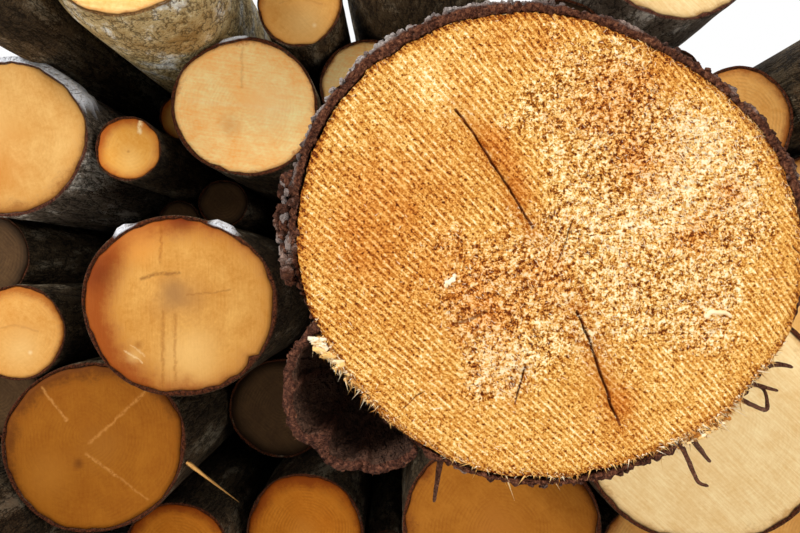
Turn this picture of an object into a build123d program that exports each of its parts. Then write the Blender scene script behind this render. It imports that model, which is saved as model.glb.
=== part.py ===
from build123d import *
import math
import os

# Stack of logs: sawn poles of one length piled lengthwise on level ground, one of them pushed forward.
# Millimetres. X runs across the pile, Y along the logs away from their front ends, Z up.
# The origin is on the ground, under the middle of the pile.

# Lengths shared by every log
log_length = 2000.0
seat_gap = 0.3
taper_per_metre = 0.02
saw_slant = 1.6

# Outline of an ordinary log: an oval with three soft lobes and five fainter ones
three_lobe_swell = 0.012
five_lobe_swell = 0.006
lobe_turn = 137.5
outline_points = 36
outline_directions = 240

# Drying checks in the sawn face of the front log: shared depth, then each one from end to end
check_depth = 30.0
open_check_width = 2.6
fine_check_width = 1.2
long_check = [(-47.0, 66.0), (-9.0, 9.0), open_check_width]
curved_check = [(12.5, -33.0), (33.5, -88.0), open_check_width]
heart_check = [(3.0, -9.0), (10.5, 12.5), fine_check_width]
low_check = [(-18.0, -78.0), (-12.5, -60.0), fine_check_width]

# Butt of the big upper log, trimmed back all round by the axe
trimmed_butt_length = 45.0
trimmed_butt_share = 0.88

# Bark that has peeled off the front log and cups away from its lower left side
peel_direction = 218.0
peel_half_width = 44.0
peel_rise = 36.0
peel_depth = 90.0
peel_thickness = 6.0
peel_root = 10.0
peel_flats = 10
trim_margin = 10.0


# One log: its name, where it is let down, its width, height and lean across the pile,
# and how far its front end stands forward of the pile's face
class Log:
    def __init__(self, name, aim, width, height, lean, forward):
        self.name = name
        self.aim = aim
        self.width = width
        self.height = height
        self.lean = lean
        self.forward = forward
        self.number = 0
        self.centre = None
        self.radii = None
        self.reach = None


# The logs in the order they are laid; the first nine lie on the ground
ground_logs = 9
pile = [
    Log("row_1_log_1", -672, 150, 146, 0, -20),
    Log("row_1_log_2", -498, 190, 186, 10, 150),
    Log("row_1_log_3", -265.1, 128, 124, 0, -60),
    Log("row_1_log_4", -118, 150, 146, 0, -110),
    Log("row_1_log_5", -16.3, 66, 64, 0, -140),
    Log("row_1_log_6", 113, 222, 218, 0, 0),
    Log("row_1_log_7", 306, 118, 116, 0, -90),
    Log("row_1_log_8", 484, 182, 178, 0, -60),
    Log("row_1_log_9", 650, 150, 150, 0, -30),
    Log("row_2_log_1", -600, 150, 146, 0, -60),
    Log("row_2_log_3", -337, 208, 190, 5, 0),
    Log("row_2_log_2", -490, 111, 107, 0, -90),
    Log("row_2_log_4", -166, 144, 138, 0, -200),
    Log("row_2_log_5", -24, 152, 148, 0, -250),
    Log("row_2_log_7", 320, 270, 258, 0, 63),
    Log("row_2_log_6", 141, 90, 88, 0, -180),
    Log("row_2_log_8", 567, 160, 156, 0, -60),
    Log("row_3_log_2", -425, 112, 108, 0, 0),
    Log("row_3_log_3", -212, 206, 188, -10, 60),
    Log("front_log", 70, 258, 234, -18, 475),
    Log("row_3_log_6", 500, 161, 157, 0, -60),
    Log("row_3_log_5", 245, 115, 111, 0, -180),
    Log("row_3_log_4", -126, 115, 111, 0, -240),
    Log("row_4_log_2", -325, 103, 101, 0, -250),
    Log("row_3_log_1", -540, 120, 118, 0, -60),
    Log("row_4_log_1", -489, 108, 106, 0, -60),
    Log("row_5_log_1", -427, 176, 176, 0, 0),
    Log("row_4_log_3", -292, 60, 58, 0, -200),
    Log("row_4_log_4", -266, 70, 68, 0, -200),
    Log("row_5_log_2", -296, 76, 74, 0, 0),
    Log("row_5_log_3", -159, 164, 156, -5, 0),
    Log("row_6_log_2", -283, 63, 61, 0, -150),
    Log("row_4_log_7", 382, 134, 130, 0, -100),
    Log("row_4_log_6", 325, 70, 68, 0, -150),
    Log("row_4_log_8", 500, 120, 116, 0, -60),
    Log("row_5_log_7", 376, 126, 124, 0, 0),
    Log("row_4_log_5", 209, 127, 125, 0, -200),
    Log("row_5_log_5", 78, 151, 147, 0, -200),
    Log("row_5_log_4", -33, 114, 112, 0, -60),
    Log("row_6_log_4", -107, 96, 94, 0, 0),
    Log("row_6_log_3", -281, 176, 172, 0, 117),
    Log("row_6_log_1", -405, 96, 94, 0, 150),
    Log("row_5_log_6", 244, 101, 97, 0, -100),
    Log("row_6_log_5", 10, 176, 168, 0, 150),
    Log("row_6_log_6", 165, 104, 100, 0, -60),
    Log("row_6_log_7", 345, 60, 58, 0, -120),
    Log("row_6_log_8", 295, 214, 208, 0, 0),
    Log("row_5_log_8", 480, 140, 136, 0, 150),
]

# Lobes of the front log, read off its own outline
front_three_lobe_swell = 0.024
front_three_lobe_turn = 7.0
front_four_lobe_swell = 0.009


def radius(log, angle):
    """Distance from a log's centre to its bark, in the direction of an angle in degrees."""
    lean = math.radians(angle - log.lean)
    oval = math.hypot(log.height / 2 * math.cos(lean), log.width / 2 * math.sin(lean))
    oval = log.width / 2 * log.height / 2 / oval
    turned = math.radians(angle)
    if log.name == "front_log":
        three = math.cos(3 * (turned - math.radians(front_three_lobe_turn)))
        return oval * (1 + front_three_lobe_swell * three + front_four_lobe_swell * math.cos(4 * turned))
    turn = math.radians(log.number * lobe_turn)
    three = math.cos(3 * turned + turn)
    five = math.cos(5 * turned + 2 * turn)
    return oval * (1 + three_lobe_swell * three + five_lobe_swell * five)


directions = []
for step in range(outline_directions):
    turn = math.tau * step / outline_directions
    directions.append((math.cos(turn), math.sin(turn)))


def measure_reach(log):
    """How far the log's outline reaches in each direction, like a caliper laid against it."""
    angles = [360 * step / outline_directions for step in range(outline_directions)]
    log.radii = [radius(log, angle) for angle in angles]
    points = [(r * d[0], r * d[1]) for r, d in zip(log.radii, directions)]
    log.reach = []
    for step, d in enumerate(directions):
        near = [points[(step + k) % outline_directions] for k in range(-20, 21)]
        log.reach.append(max(p[0] * d[0] + p[1] * d[1] for p in near))


def clearance(lower, upper, centre):
    """Gap between a laid log and one held at a centre, and the direction in which it opens."""
    across = centre[0] - lower.centre[0]
    up = centre[1] - lower.centre[1]
    half = outline_directions // 2
    best = -1e9
    way = None
    for step, d in enumerate(directions):
        reach = lower.reach[step] + upper.reach[(step + half) % outline_directions]
        gap = across * d[0] + up * d[1] - reach
        if gap > best:
            best = gap
            way = d
    return best, way


def rest_between(first, second, log):
    """Centre at which a log touches two laid logs at once, each with the seat gap."""
    span = math.dist(first.centre, second.centre)
    rise = (first.width + second.width + log.width) / 3
    centre = ((first.centre[0] + second.centre[0]) / 2, (first.centre[1] + second.centre[1]) / 2 + rise)
    if span > (first.width + second.width) / 2 + 1.15 * log.width:
        return None
    for attempt in range(25):
        gap_1, way_1 = clearance(first, log, centre)
        gap_2, way_2 = clearance(second, log, centre)
        cross = way_1[0] * way_2[1] - way_1[1] * way_2[0]
        if abs(cross) < 1e-3:
            return None
        miss_1 = seat_gap - gap_1
        miss_2 = seat_gap - gap_2
        move_x = (miss_1 * way_2[1] - miss_2 * way_1[1]) / cross
        move_z = (miss_2 * way_1[0] - miss_1 * way_2[0]) / cross
        stride = math.hypot(move_x, move_z)
        share = min(1, 40 / max(stride, 1e-9))
        centre = (centre[0] + share * move_x, centre[1] + share * move_z)
        if stride < 1e-4:
            break
    if abs(miss_1) > 0.02 or abs(miss_2) > 0.02:
        return None
    push_1 = -way_2[0] / cross
    push_2 = way_1[0] / cross
    if min(push_1, push_2) <= 0 or max(push_1, push_2) > 3:
        return None
    return centre


def settle(log, laid):
    """Let a log down at its aim: of all the seats that carry it, take the one nearest to the aim."""
    best = None
    near = [other for other in laid if abs(other.centre[0] - log.aim) < other.width + log.width]
    for i, first in enumerate(near):
        for second in near[i + 1:]:
            centre = rest_between(first, second, log)
            if centre is None:
                continue
            if best is not None and abs(centre[0] - log.aim) >= abs(best[0] - log.aim):
                continue
            others = [other for other in near if other is not first and other is not second]
            if any(clearance(other, log, centre)[0] < seat_gap - 0.1 for other in others):
                continue
            best = centre
    log.centre = best


for number, log in enumerate(pile):
    log.number = number
    measure_reach(log)
    if number < ground_logs:
        log.centre = (log.aim, log.reach[3 * outline_directions // 4])
    else:
        settle(log, pile[:number])
by_name = {log.name: log for log in pile}

# Place of the finished pile: its left and right sides are the same distance from the origin,
# and so are its foremost and hindmost sawn ends
left = min(log.centre[0] - log.reach[outline_directions // 2] for log in pile)
right = max(log.centre[0] + log.reach[0] for log in pile)
foremost = max(log.forward for log in pile)
hindmost = log_length - min(log.forward for log in pile)
middle_x = (left + right) / 2
middle_y = (hindmost - foremost) / 2


def shrink(depth):
    """Share of full size left at a depth behind the pile's face: the whole pile tapers together."""
    return 1 - taper_per_metre * (depth + foremost) / 1000


def outline(log, depth, slant=(0.0, 0.0), swell=1.0, gap=0.0):
    """Points round a log where a plane cuts it at a depth; the slant is the plane's rise across and up."""
    share = shrink(depth)
    points = []
    for step in range(outline_points):
        turned = math.tau * step / outline_points
        reach = radius(log, math.degrees(turned)) * swell
        across = reach * math.cos(turned)
        up = reach * math.sin(turned)
        x = log.centre[0] - middle_x + across
        z = log.centre[1] + up
        lean = taper_per_metre / 1000 * (slant[0] * x + slant[1] * z)
        nearer = share * (slant[0] * across + slant[1] * up) / (1 - lean)
        share_there = shrink(depth - nearer)
        x = x * share_there + gap * math.cos(turned)
        z = z * share_there + gap * math.sin(turned)
        points.append((x, depth - nearer - middle_y, z))
    return points


def face_centre(log, depth):
    """Centre of a log's cross-section at a depth."""
    share = shrink(depth)
    return ((log.centre[0] - middle_x) * share, depth - middle_y, log.centre[1] * share)


os.makedirs("parts", exist_ok=True)

# Logs, each one skinned straight from its front outline to its back outline. The sawn ends are
# a little out of square, each in its own direction; the end of the front log is square.
for log in pile:
    front = -log.forward
    back = front + log_length
    slant = math.tan(math.radians(saw_slant))
    turn = math.radians(log.number * lobe_turn)
    front_slant = (slant * math.cos(turn), slant * math.sin(turn))
    back_slant = (-slant * math.sin(turn), slant * math.cos(turn))
    if log.name == "front_log":
        front_slant = (0.0, 0.0)
    stations = [(front, front_slant, 1.0), (back, back_slant, 1.0)]
    if log.name == "row_6_log_3":
        collar = (front + trimmed_butt_length, front_slant, 1.0)
        stations = [(front, front_slant, trimmed_butt_share), collar, (back, back_slant, 1.0)]
    with BuildPart() as piece:
        for depth, lean, swell in stations:
            cut = Plane(face_centre(log, depth), x_dir=(1, -lean[0], 0), z_dir=(lean[0], 1, lean[1]))
            with BuildSketch(cut):
                with BuildLine():
                    edge = [cut.to_local_coords(Vector(p)) for p in outline(log, depth, lean, swell)]
                    Spline(edge, periodic=True)
                make_face()
        loft(ruled=True)
        if log.name == "front_log":
            # Drying checks, open at the sawn face
            middle = face_centre(log, front)
            for start, end, width in (long_check, curved_check, heart_check, low_check):
                length = math.dist(start, end)
                ahead = ((end[0] - start[0]) / length, (end[1] - start[1]) / length)
                corners = [(0, 0), (0.3, -0.5), (0.7, -0.4), (1, 0), (0.55, 0.5)]
                points = []
                for run, side in corners:
                    x = start[0] + run * length * ahead[0] - side * width * ahead[1]
                    z = start[1] + run * length * ahead[1] + side * width * ahead[0]
                    points.append((middle[0] + x, middle[2] + z))
                with BuildSketch(Plane.XZ.offset(middle_y - front)):
                    with BuildLine():
                        Polyline(points, close=True)
                    make_face()
                extrude(amount=-check_depth, mode=Mode.SUBTRACT)
    piece.part.label = log.name
    export_step(piece.part, f"parts/{log.name}.step")

# Peeled bark: a half-round gutter that closes at its back like the toe of a shoe, open towards
# the front and cut to the log's side
front_log = by_name["front_log"]
front = -front_log.forward
centre = face_centre(front_log, front)
turned = math.radians(peel_direction)
out_x = math.cos(turned)
out_z = math.sin(turned)
root = radius(front_log, peel_direction) * shrink(front) - peel_root
root_x = centre[0] + root * out_x
root_z = centre[2] + root * out_z
peel_reach = peel_rise + peel_root
outer_arch = []
inner_arch = []
for step in range(peel_flats + 1):
    turned = math.pi * step / peel_flats
    bow = (math.cos(turned), math.sin(turned))
    outer_arch.append((peel_half_width * bow[0], peel_reach * bow[1]))
    inner_arch.append(((peel_half_width - peel_thickness) * bow[0], (peel_reach - peel_thickness) * bow[1]))
with BuildPart() as peeled_bark:
    for depth in (front, front + peel_depth - peel_reach):
        start = (root_x, depth - middle_y, root_z)
        with BuildSketch(Plane(start, x_dir=(out_z, 0, -out_x), z_dir=(0, -1, 0))):
            with BuildLine():
                Polyline(outer_arch + inner_arch[::-1], close=True)
            make_face()
        if depth == front:
            extrude(amount=peel_reach - peel_depth)
        else:
            revolve(axis=Axis(start, (-out_z, 0, out_x)), revolution_arc=90)
    for depth in (front - trim_margin, front + 2 * peel_depth):
        with BuildSketch(Plane.XZ.offset(middle_y - depth)):
            with BuildLine():
                Spline([(x, z) for x, y, z in outline(front_log, depth, gap=seat_gap)], periodic=True)
            make_face()
    loft(ruled=True, mode=Mode.SUBTRACT)
peeled_bark.part.label = "peeled_bark"
export_step(peeled_bark.part, "parts/peeled_bark.step")
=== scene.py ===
import bpy
import math
import numpy as np
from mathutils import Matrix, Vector


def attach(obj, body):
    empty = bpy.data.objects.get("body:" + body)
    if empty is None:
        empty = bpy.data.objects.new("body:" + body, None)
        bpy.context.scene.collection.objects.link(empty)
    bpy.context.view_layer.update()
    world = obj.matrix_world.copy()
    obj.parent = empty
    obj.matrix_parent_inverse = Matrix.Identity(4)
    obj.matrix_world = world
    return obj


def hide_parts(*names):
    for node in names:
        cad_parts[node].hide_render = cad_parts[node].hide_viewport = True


# Looks of the stack of logs: bark and sawn wood on every log, and the thick log's torn end face.
# Lengths are in millimetres until a mesh is written.

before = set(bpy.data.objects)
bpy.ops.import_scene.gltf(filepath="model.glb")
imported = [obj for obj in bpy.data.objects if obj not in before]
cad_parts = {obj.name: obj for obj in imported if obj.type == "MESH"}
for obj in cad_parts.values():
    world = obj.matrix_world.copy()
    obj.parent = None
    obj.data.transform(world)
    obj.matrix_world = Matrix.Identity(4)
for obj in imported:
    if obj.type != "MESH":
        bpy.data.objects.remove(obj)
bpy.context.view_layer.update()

log_names = sorted(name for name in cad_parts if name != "peeled_bark")
hidden_logs = [
    "row_1_log_5", "row_2_log_4", "row_2_log_5", "row_2_log_6", "row_3_log_4", "row_3_log_5",
    "row_4_log_2", "row_4_log_3", "row_4_log_5", "row_4_log_6", "row_4_log_7", "row_5_log_5",
    "row_5_log_6", "row_6_log_6", "row_6_log_7",
]

# Saw marks on the thick log's end: how they fall to the right, how they fan out, and their spacing. The
# wood there lies face_sink behind the bark's rim, and nothing comes nearer than clearance to the rim's plane
line_fall = math.radians(-47)
line_fan = 0.00107
line_spacing = 3.05
face_sink = 1.9
clearance = 0.05
turn_round = 2 * math.pi


# Noise

def lattice(i, j, k, seed):
    """A value from 0 to 1 for each point of a whole-number lattice, mixed by large odd factors."""
    n = (i * 374761393 + j * 668265263 + k * 1103515245 + seed * 1274126177) & 0xFFFFFFFF
    n = ((n ^ (n >> 13)) * 1274126177) & 0xFFFFFFFF
    n = ((n ^ (n >> 15)) * 668265263) & 0xFFFFFFFF
    return ((n ^ (n >> 16)) & 0xFFFF) / 65535.0


def noise(x, y, z, seed=0):
    """Value noise from -1 to 1: lattice values blended by 3t^2 - 2t^3 along each axis."""
    x, y, z = np.broadcast_arrays(x, y, z)
    i, j, k = (np.floor(v).astype(np.int64) for v in (x, y, z))
    u, v, w = (t * t * (3 - 2 * t) for t in (x - i, y - j, z - k))
    total = 0
    for a in (0, 1):
        for b in (0, 1):
            for c in (0, 1):
                share = (u if a else 1 - u) * (v if b else 1 - v) * (w if c else 1 - w)
                total = total + share * lattice(i + a, j + b, k + c, seed)
    return 2 * total - 1


def fractal(x, y, z, octaves=4, seed=0):
    """Noise added at doubled frequencies and halved heights, from about -1 to 1."""
    total = 0
    for n in range(octaves):
        total = total + noise(x * 2 ** n, y * 2 ** n, z * 2 ** n, seed + n) / 2 ** n
    return total / 1.6


def step(low, high, x):
    """0 below low, 1 above high, 3t^2 - 2t^3 between."""
    t = np.clip((x - low) / (high - low), 0, 1)
    return t * t * (3 - 2 * t)


def bell(x, middle, half):
    """A soft hill of height 1: exp of minus the square of the distance over the half width."""
    return np.exp(-((x - middle) / half) ** 2)


def round_angles(count):
    """Evenly spaced angles once round, in radians."""
    return np.linspace(0, turn_round, count, endpoint=False)


# Meshes

def make_mesh(name, points, faces, material, uv=None, values=None):
    """A mesh object from points in mm and a list of face arrays, turned outwards by its signed volume."""
    points = np.asarray(points, float) * 0.001
    signed = 0.0
    for f in faces:
        a = points[f[:, 0]]
        for n in range(1, f.shape[1] - 1):
            signed += np.einsum("ij,ij->", a, np.cross(points[f[:, n]], points[f[:, n + 1]]))
    if signed < 0:
        faces = [f[:, ::-1] for f in faces]
    mesh = bpy.data.meshes.new(name)
    corners = np.concatenate([f.ravel() for f in faces]).astype(np.int32)
    totals = np.concatenate([np.full(len(f), f.shape[1]) for f in faces]).astype(np.int32)
    starts = np.concatenate([[0], np.cumsum(totals)[:-1]]).astype(np.int32)
    mesh.vertices.add(len(points))
    mesh.vertices.foreach_set("co", points.astype(np.float32).ravel())
    mesh.loops.add(len(corners))
    mesh.loops.foreach_set("vertex_index", corners)
    mesh.polygons.add(len(totals))
    mesh.polygons.foreach_set("loop_start", starts)
    mesh.polygons.foreach_set("loop_total", totals)
    mesh.update(calc_edges=True)
    mesh.polygons.foreach_set("use_smooth", np.full(len(totals), True))
    if uv is not None:
        layer = mesh.uv_layers.new(name="section")
        layer.data.foreach_set("uv", np.asarray(uv, np.float32)[corners].ravel())
    for key, value in (values or {}).items():
        layer = mesh.attributes.new(key, "FLOAT", "POINT")
        layer.data.foreach_set("value", np.asarray(value, np.float32).ravel())
    mesh.materials.append(material)
    piece = bpy.data.objects.new(name, mesh)
    bpy.context.scene.collection.objects.link(piece)
    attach(piece, "root")
    return piece


def ring_faces(rows, columns, closed):
    """Quads of a grid whose columns go round; a closed one joins its last row to its first."""
    i = np.arange(rows if closed else rows - 1)[:, None]
    j = np.arange(columns)[None, :]
    low = (i % rows) * columns
    high = ((i + 1) % rows) * columns
    k = (j + 1) % columns
    quads = np.stack([low + j, low + k, high + k, high + j], -1)
    return quads.reshape(-1, 4)


def ring_piece(name, points, material, closed=False, uv=None, values=None):
    """A surface on a grid of rows that go round: closed into a tube wall, or ended by two poles."""
    rows, columns = points.shape[:2]
    flat = points.reshape(-1, 3)
    faces = [ring_faces(rows, columns, closed)]
    uv = None if uv is None else uv.reshape(-1, 2)
    values = {key: v.ravel() for key, v in (values or {}).items()}
    if not closed:
        j = np.arange(columns)
        k = (j + 1) % columns
        first = np.full(columns, len(flat))
        faces.append(np.stack([first, k, j], 1))
        last = (rows - 1) * columns
        faces.append(np.stack([first + 1, last + j, last + k], 1))
        flat = np.vstack([flat, points[0].mean(0), points[-1].mean(0)])
        if uv is not None:
            uv = np.vstack([uv, uv[:columns].mean(0), uv[-columns:].mean(0)])
        for key, v in values.items():
            values[key] = np.r_[v, v[:columns].mean(), v[-columns:].mean()]
    return make_mesh(name, flat, faces, material, uv, values)


def lumps(name, centres, sizes, material, rows=5, columns=7, seed=0, rough=0.45, values=None):
    """Many rough lumps: each a sphere grid of latitude and longitude, stretched to its own three sizes and
    pushed in and out by noise of its direction, turned by its own random angle about the logs' axis."""
    centres = np.asarray(centres, float)
    sizes = np.asarray(sizes, float)
    count = len(centres)
    rng = np.random.default_rng(seed)
    lat = math.pi * (np.arange(rows) + 1) / (rows + 1)
    lat, lon = np.meshgrid(lat, round_angles(columns), indexing="ij")
    unit = np.stack([np.sin(lat) * np.cos(lon), np.cos(lat), np.sin(lat) * np.sin(lon)], -1).reshape(-1, 3)
    unit = np.vstack([unit, [[0, 1, 0], [0, -1, 0]]])
    shift = rng.uniform(0, 90, (count, 1, 3))
    push = 1 + rough * fractal(*np.moveaxis(unit[None] * 1.7 + shift, -1, 0), 3, seed)
    body = unit[None] * push[..., None] * sizes[:, None, :]
    turn = rng.uniform(-0.6, 0.6, (count, 1))
    x = body[..., 0] * np.cos(turn) - body[..., 2] * np.sin(turn)
    z = body[..., 0] * np.sin(turn) + body[..., 2] * np.cos(turn)
    body = np.stack([x, body[..., 1], z], -1) + centres[:, None, :]
    body[..., 1] = np.maximum(body[..., 1], front_plane + clearance)
    per = len(unit)
    base = (np.arange(count) * per)[:, None, None]
    quads = (ring_faces(rows, columns, False)[None] + base).reshape(-1, 4)
    j = np.arange(columns)
    k = (j + 1) % columns
    top = np.stack([np.full(columns, rows * columns), k, j], 1)[None] + base
    low = (rows - 1) * columns
    bottom = np.stack([np.full(columns, rows * columns + 1), low + j, low + k], 1)[None] + base
    spread = {key: np.repeat(v, per) for key, v in (values or {}).items()}
    faces = [quads, top.reshape(-1, 3), bottom.reshape(-1, 3)]
    return make_mesh(name, body.reshape(-1, 3), faces, material, None, spread)


def slivers(name, root, tip, width, material, values=None):
    """Many slivers: each a long four-sided wedge from a three-cornered root to one sharp tip."""
    axis = tip - root
    side = np.cross(axis, [0.31, 0.17, 0.93])
    side /= np.linalg.norm(side, axis=1, keepdims=True)
    other = np.cross(axis, side)
    other /= np.linalg.norm(other, axis=1, keepdims=True)
    corners = [root + width[:, None] * (math.cos(a) * side + math.sin(a) * other) for a in round_angles(3)]
    points = np.stack(corners + [tip], 1)
    points[..., 1] = np.maximum(points[..., 1], front_plane + clearance)
    base = (np.arange(len(root)) * 4)[:, None, None]
    faces = np.array([[0, 2, 1], [0, 1, 3], [1, 2, 3], [2, 0, 3]])[None] + base
    spread = {key: np.repeat(v, 4) for key, v in (values or {}).items()}
    return make_mesh(name, points.reshape(-1, 3), [faces.reshape(-1, 3)], material, None, spread)


def twig(name, path, radius, material, columns=9, rows=26, seed=0, values=None):
    """A twig: a circle carried along a path of points joined by straight legs with rounded turns. Its radius
    shrinks by a half to its end and varies by noise."""
    path = np.asarray(path, float)
    stops = np.r_[0, np.cumsum(np.linalg.norm(np.diff(path, axis=0), axis=1))]
    t = np.linspace(0, stops[-1], rows)
    line = np.stack([np.interp(t, stops, path[:, n]) for n in range(3)], -1)
    for n in range(3):
        line[1:-1] = (line[:-2] + 2 * line[1:-1] + line[2:]) / 4
    ahead = np.gradient(line, axis=0)
    ahead /= np.linalg.norm(ahead, axis=1, keepdims=True)
    side = np.cross(ahead, [0.05, 1.0, 0.1])
    side /= np.linalg.norm(side, axis=1, keepdims=True)
    other = np.cross(ahead, side)
    angle = round_angles(columns)[None, :]
    cos, sin = np.cos(angle), np.sin(angle)
    size = radius * (1 - 0.5 * t / t[-1])[:, None]
    size = size * (1 + 0.4 * fractal(cos * 1.5, t[:, None] / 4 + seed, sin * 1.5, 2, seed))
    size[[0, -1]] *= 0.6
    ring = size[..., None] * (cos[..., None] * side[:, None] + sin[..., None] * other[:, None])
    ring = ring + line[:, None]
    ring[..., 1] = np.maximum(ring[..., 1], front_plane + clearance)
    spread = {key: np.full(size.shape, v) for key, v in (values or {}).items()}
    return ring_piece(name, ring, material, values=spread)


# Outlines of the logs, read off the CAD meshes

def cad_points(node):
    """Vertices of a CAD node, in mm."""
    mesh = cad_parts[node].data
    co = np.zeros(len(mesh.vertices) * 3)
    mesh.vertices.foreach_get("co", co)
    return co.reshape(-1, 3) * 1000


class Rim:
    """A closed outline across a log: its middle, the radius as a short Fourier series of the angle,
    and the plane y = a + b x + c z that it lies in."""

    def __init__(self, points):
        self.middle = (points[:, [0, 2]].max(0) + points[:, [0, 2]].min(0)) / 2
        across = points[:, [0, 2]] - self.middle
        radius = np.hypot(across[:, 0], across[:, 1])
        keep = radius > 0.8 * radius.max()
        angle = np.arctan2(across[keep, 1], across[keep, 0])
        self.series = np.linalg.lstsq(self.waves(angle), radius[keep], rcond=None)[0]
        flat = np.c_[np.ones(keep.sum()), points[keep][:, [0, 2]]]
        self.plane = np.linalg.lstsq(flat, points[keep][:, 1], rcond=None)[0]
        self.mean_radius = self.series[0]

    def waves(self, angle):
        """One column of ones, then the cosine and the sine of 1 to 6 times the angle."""
        columns = [np.ones_like(angle)]
        for n in range(1, 7):
            columns += [np.cos(n * angle), np.sin(n * angle)]
        return np.stack(columns, -1)

    def radius(self, angle):
        """Distance from the middle to the outline at an angle."""
        return self.waves(angle) @ self.series

    def at(self, angle, inward=0.0, share=1.0):
        """Points at an angle, set in by some mm and then drawn in to a share of the radius."""
        reach = (self.radius(angle) - inward) * share
        x = self.middle[0] + reach * np.cos(angle)
        z = self.middle[1] + reach * np.sin(angle)
        y = self.plane[0] + self.plane[1] * x + self.plane[2] * z
        return np.stack([x, y, z], -1)


def log_rims(node):
    """The outlines that a log is skinned between: front end, collar if it has one, back end."""
    points = cad_points(node)
    y = points[:, 1]
    rims = [Rim(points[y < y.min() + 9])]
    between = points[(y > y.min() + 36) & (y < y.min() + 60)]
    if len(between) > 40 and node != "front_log":
        rims.append(Rim(between))
    rims.append(Rim(points[y > y.max() - 9]))
    return rims


def skin(rims, angle, along, inward):
    """Points on a log's side: straight lines between its outlines, at distances along it, some mm in."""
    rings = np.stack([rim.at(angle[0]) for rim in rims])
    stops = rings[:, :, 1].mean(1) - rings[0, :, 1].mean()
    stops[-1] += 1e-6
    leg = np.clip(np.searchsorted(stops, along, "right") - 1, 0, len(rims) - 2)
    t = ((along - stops[leg]) / (stops[leg + 1] - stops[leg]))[..., None]
    columns = np.broadcast_to(np.arange(angle.shape[1]), along.shape)
    points = (1 - t) * rings[leg, columns] + t * rings[leg + 1, columns]
    points[..., 0] -= inward * np.cos(angle)
    points[..., 2] -= inward * np.sin(angle)
    return points


# Shader helpers

def paint(colour):
    """A colour as a paint chart gives it, 0 to 255, in the linear light that shaders use."""
    chart = np.array(colour) / 255
    linear = np.where(chart <= 0.04045, chart / 12.92, ((chart + 0.055) / 1.055) ** 2.4)
    return (*linear.tolist(), 1.0)


class Flow:
    """A value on its way through a node tree. Arithmetic with it adds math nodes."""

    def __init__(self, sheet, socket):
        self.sheet = sheet
        self.socket = socket

    def __add__(self, other):
        return self.sheet.math("ADD", self, other)

    def __sub__(self, other):
        return self.sheet.math("SUBTRACT", self, other)

    def __rsub__(self, other):
        return self.sheet.math("SUBTRACT", other, self)

    def __mul__(self, other):
        return self.sheet.math("MULTIPLY", self, other)

    def __truediv__(self, other):
        return self.sheet.math("DIVIDE", self, other)

    __radd__ = __add__
    __rmul__ = __mul__


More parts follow.
